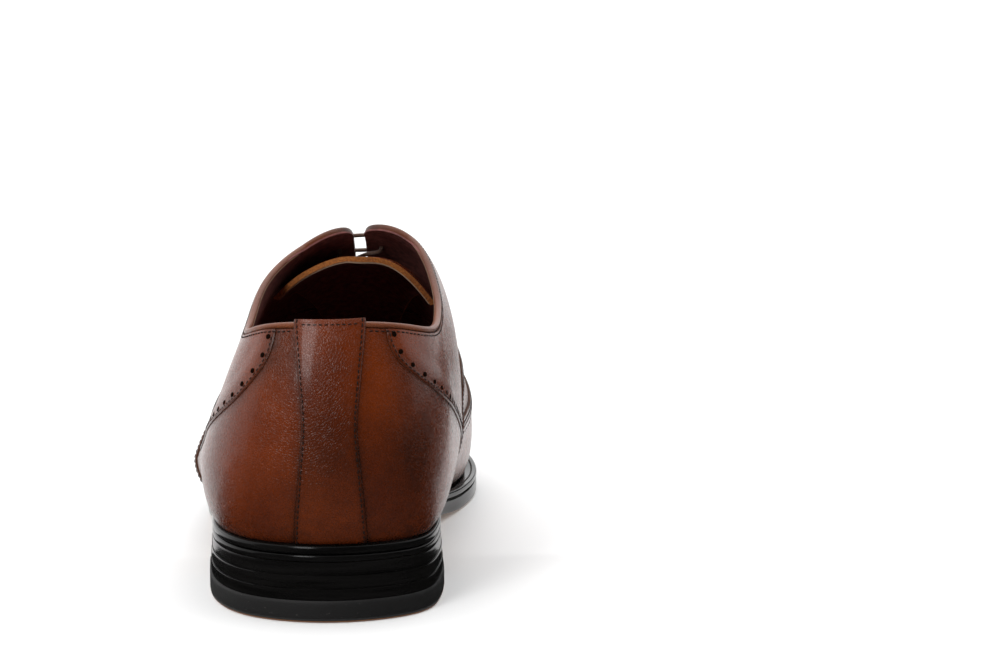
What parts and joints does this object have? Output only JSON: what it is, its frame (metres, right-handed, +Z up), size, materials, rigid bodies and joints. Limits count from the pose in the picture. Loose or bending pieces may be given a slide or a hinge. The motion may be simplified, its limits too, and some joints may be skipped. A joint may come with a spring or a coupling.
{
  "type": "oxford shoe",
  "caption": "Left leather oxford shoe with closed lacing, rolled collar, wing cap, welted leather sole and stacked heel with rubber top piece.",
  "frame": {"origin": "centre of the bounding box in plan, on the floor under the sole", "axes": "+Y from heel to toe, +Z up, +X to the inner (medial) side of this left shoe"},
  "size_m": [0.1024, 0.3016, 0.1087],
  "materials": {
    "upper": "polished tan leather, darkened towards seams, heel and toe",
    "lining": "soft dark burgundy lining leather",
    "edge": "black edge ink with a wax shine",
    "rubber": "matt black rubber",
    "cork": "granular cork",
    "board": "undyed leather board",
    "lace": "dark brown waxed cotton",
    "steel": "plain spring steel",
    "brass": "plain brass"
  },
  "bodies": {
    "shoe": {"aglet_1": "lace", "aglet_2": "lace", "back_strap": "upper", "cork_filler": "cork", "counter_lateral": "upper", "counter_medial": "upper", "eyelet_lateral_1": "brass", "eyelet_lateral_2": "brass", "eyelet_lateral_3": "brass", "eyelet_lateral_4": "brass", "eyelet_lateral_5": "brass", "eyelet_medial_1": "brass", "eyelet_medial_2": "brass", "eyelet_medial_3": "brass", "eyelet_medial_4": "brass", "eyelet_medial_5": "brass", "heel_lift_1": "edge", "heel_lift_2": "edge", "heel_lift_3": "edge", "heel_lining": "lining", "heel_rand": "edge", "heel_stiffener": "board", "insole": "board", "lace": "lace", "outsole": "edge", "quarter_lateral": "upper", "quarter_lining_lateral": "lining", "quarter_lining_medial": "lining", "quarter_medial": "upper", "shank": "steel", "sock_liner": "lining", "toe_puff": "board", "top_piece": "rubber", "top_piece_nail_1": "brass", "top_piece_nail_2": "brass", "top_piece_nail_3": "brass", "top_piece_nail_4": "brass", "top_piece_nail_5": "brass", "topline_binding": "upper", "vamp": "upper", "vamp_lining": "lining", "welt": "edge", "wing_cap": "upper"},
    "tongue": {"tongue": "upper", "tongue_lining": "lining"}
  },
  "joints": [
    {"name": "tongue_hinge", "type": "hinge", "parent": "shoe", "child": "tongue", "pos_m": [0.0091, 0.0218, 0.0705], "axis": [1, 0, 0], "range_deg": [0, 10], "stiffness_Nm_per_rad": 0.05}
  ]
}
